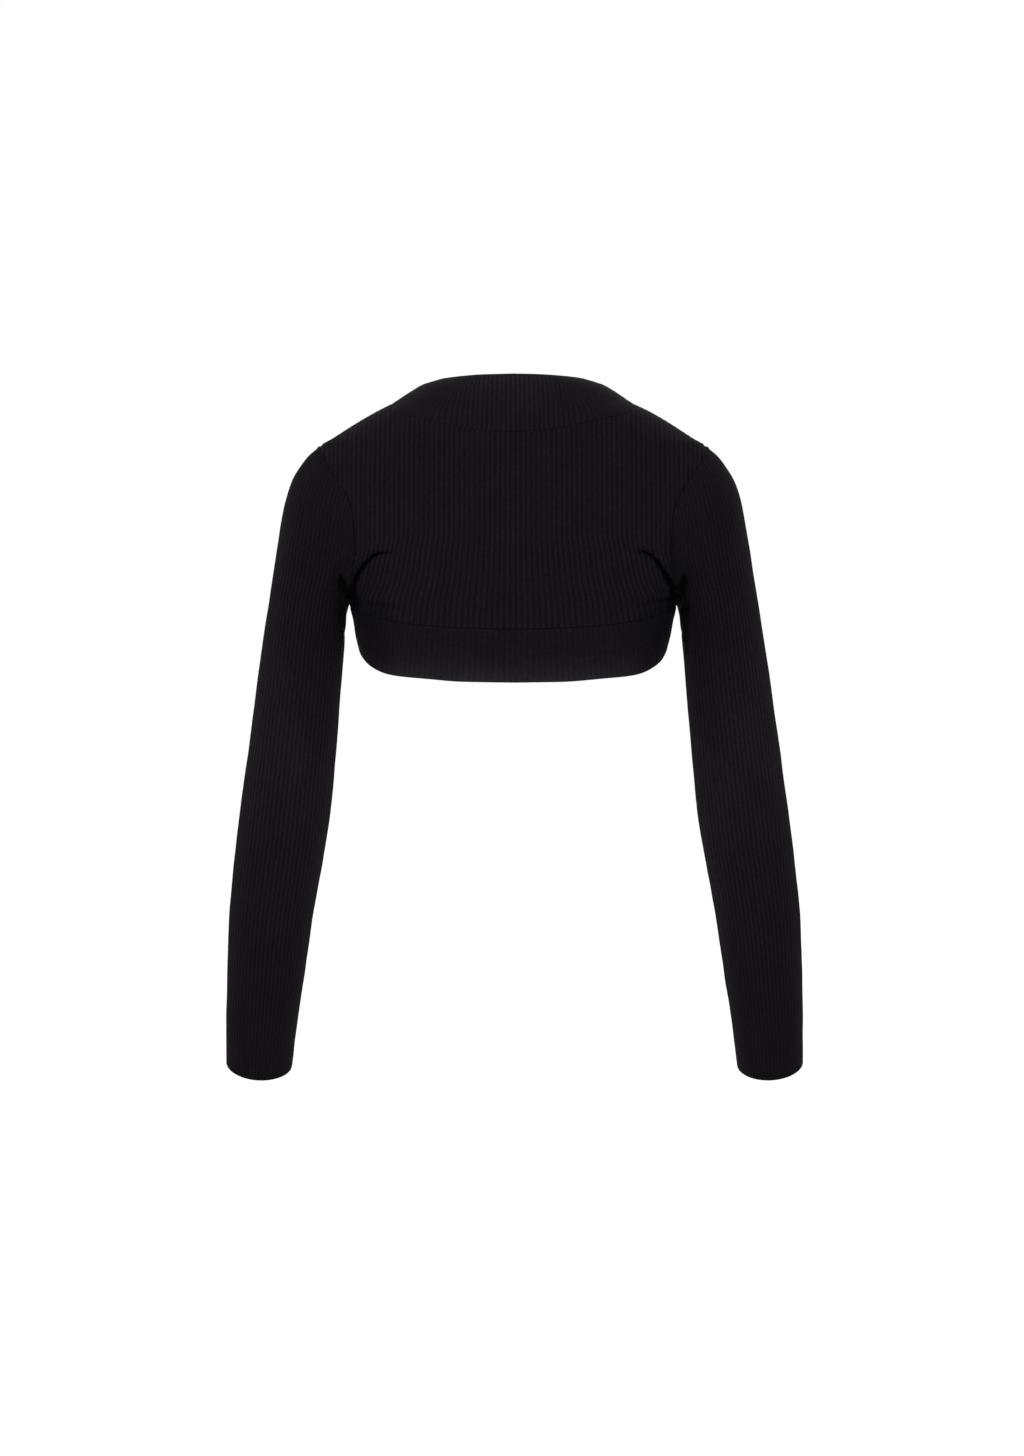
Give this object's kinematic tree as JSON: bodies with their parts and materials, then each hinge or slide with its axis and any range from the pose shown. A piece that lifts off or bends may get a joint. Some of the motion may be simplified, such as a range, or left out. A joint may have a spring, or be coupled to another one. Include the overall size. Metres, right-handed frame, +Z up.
{
  "type": "cropped long-sleeved knitted shrug, worn",
  "caption": "Cropped open-front shrug in fine rib knit, with long close sleeves and one doubled rib band round neck, fronts and hem, filled out as when worn.",
  "frame": {"origin": "midway between the two shoulder seams, level with their middles, on the line over the shoulders where the wearer carries the garment", "axes": "+Z up, +Y towards the wearer's front, +X towards the wearer's right sleeve (the back of the garment faces -Y); the garment is the same left and right of the plane X = 0 apart from small creases"},
  "size_m": [0.5612, 0.2155, 0.6748],
  "materials": {
    "rib_knit": "near-black fine rib jersey, matt, with a faint nap and ribs about 5 mm apart",
    "rib_band": "the same near-black rib knit folded double, matt"
  },
  "bodies": {
    "root": {"back": "rib_knit", "front_right": "rib_knit", "front_left": "rib_knit", "sleeve_right": "rib_knit", "sleeve_left": "rib_knit", "band": "rib_band"}
  },
  "joints": []
}
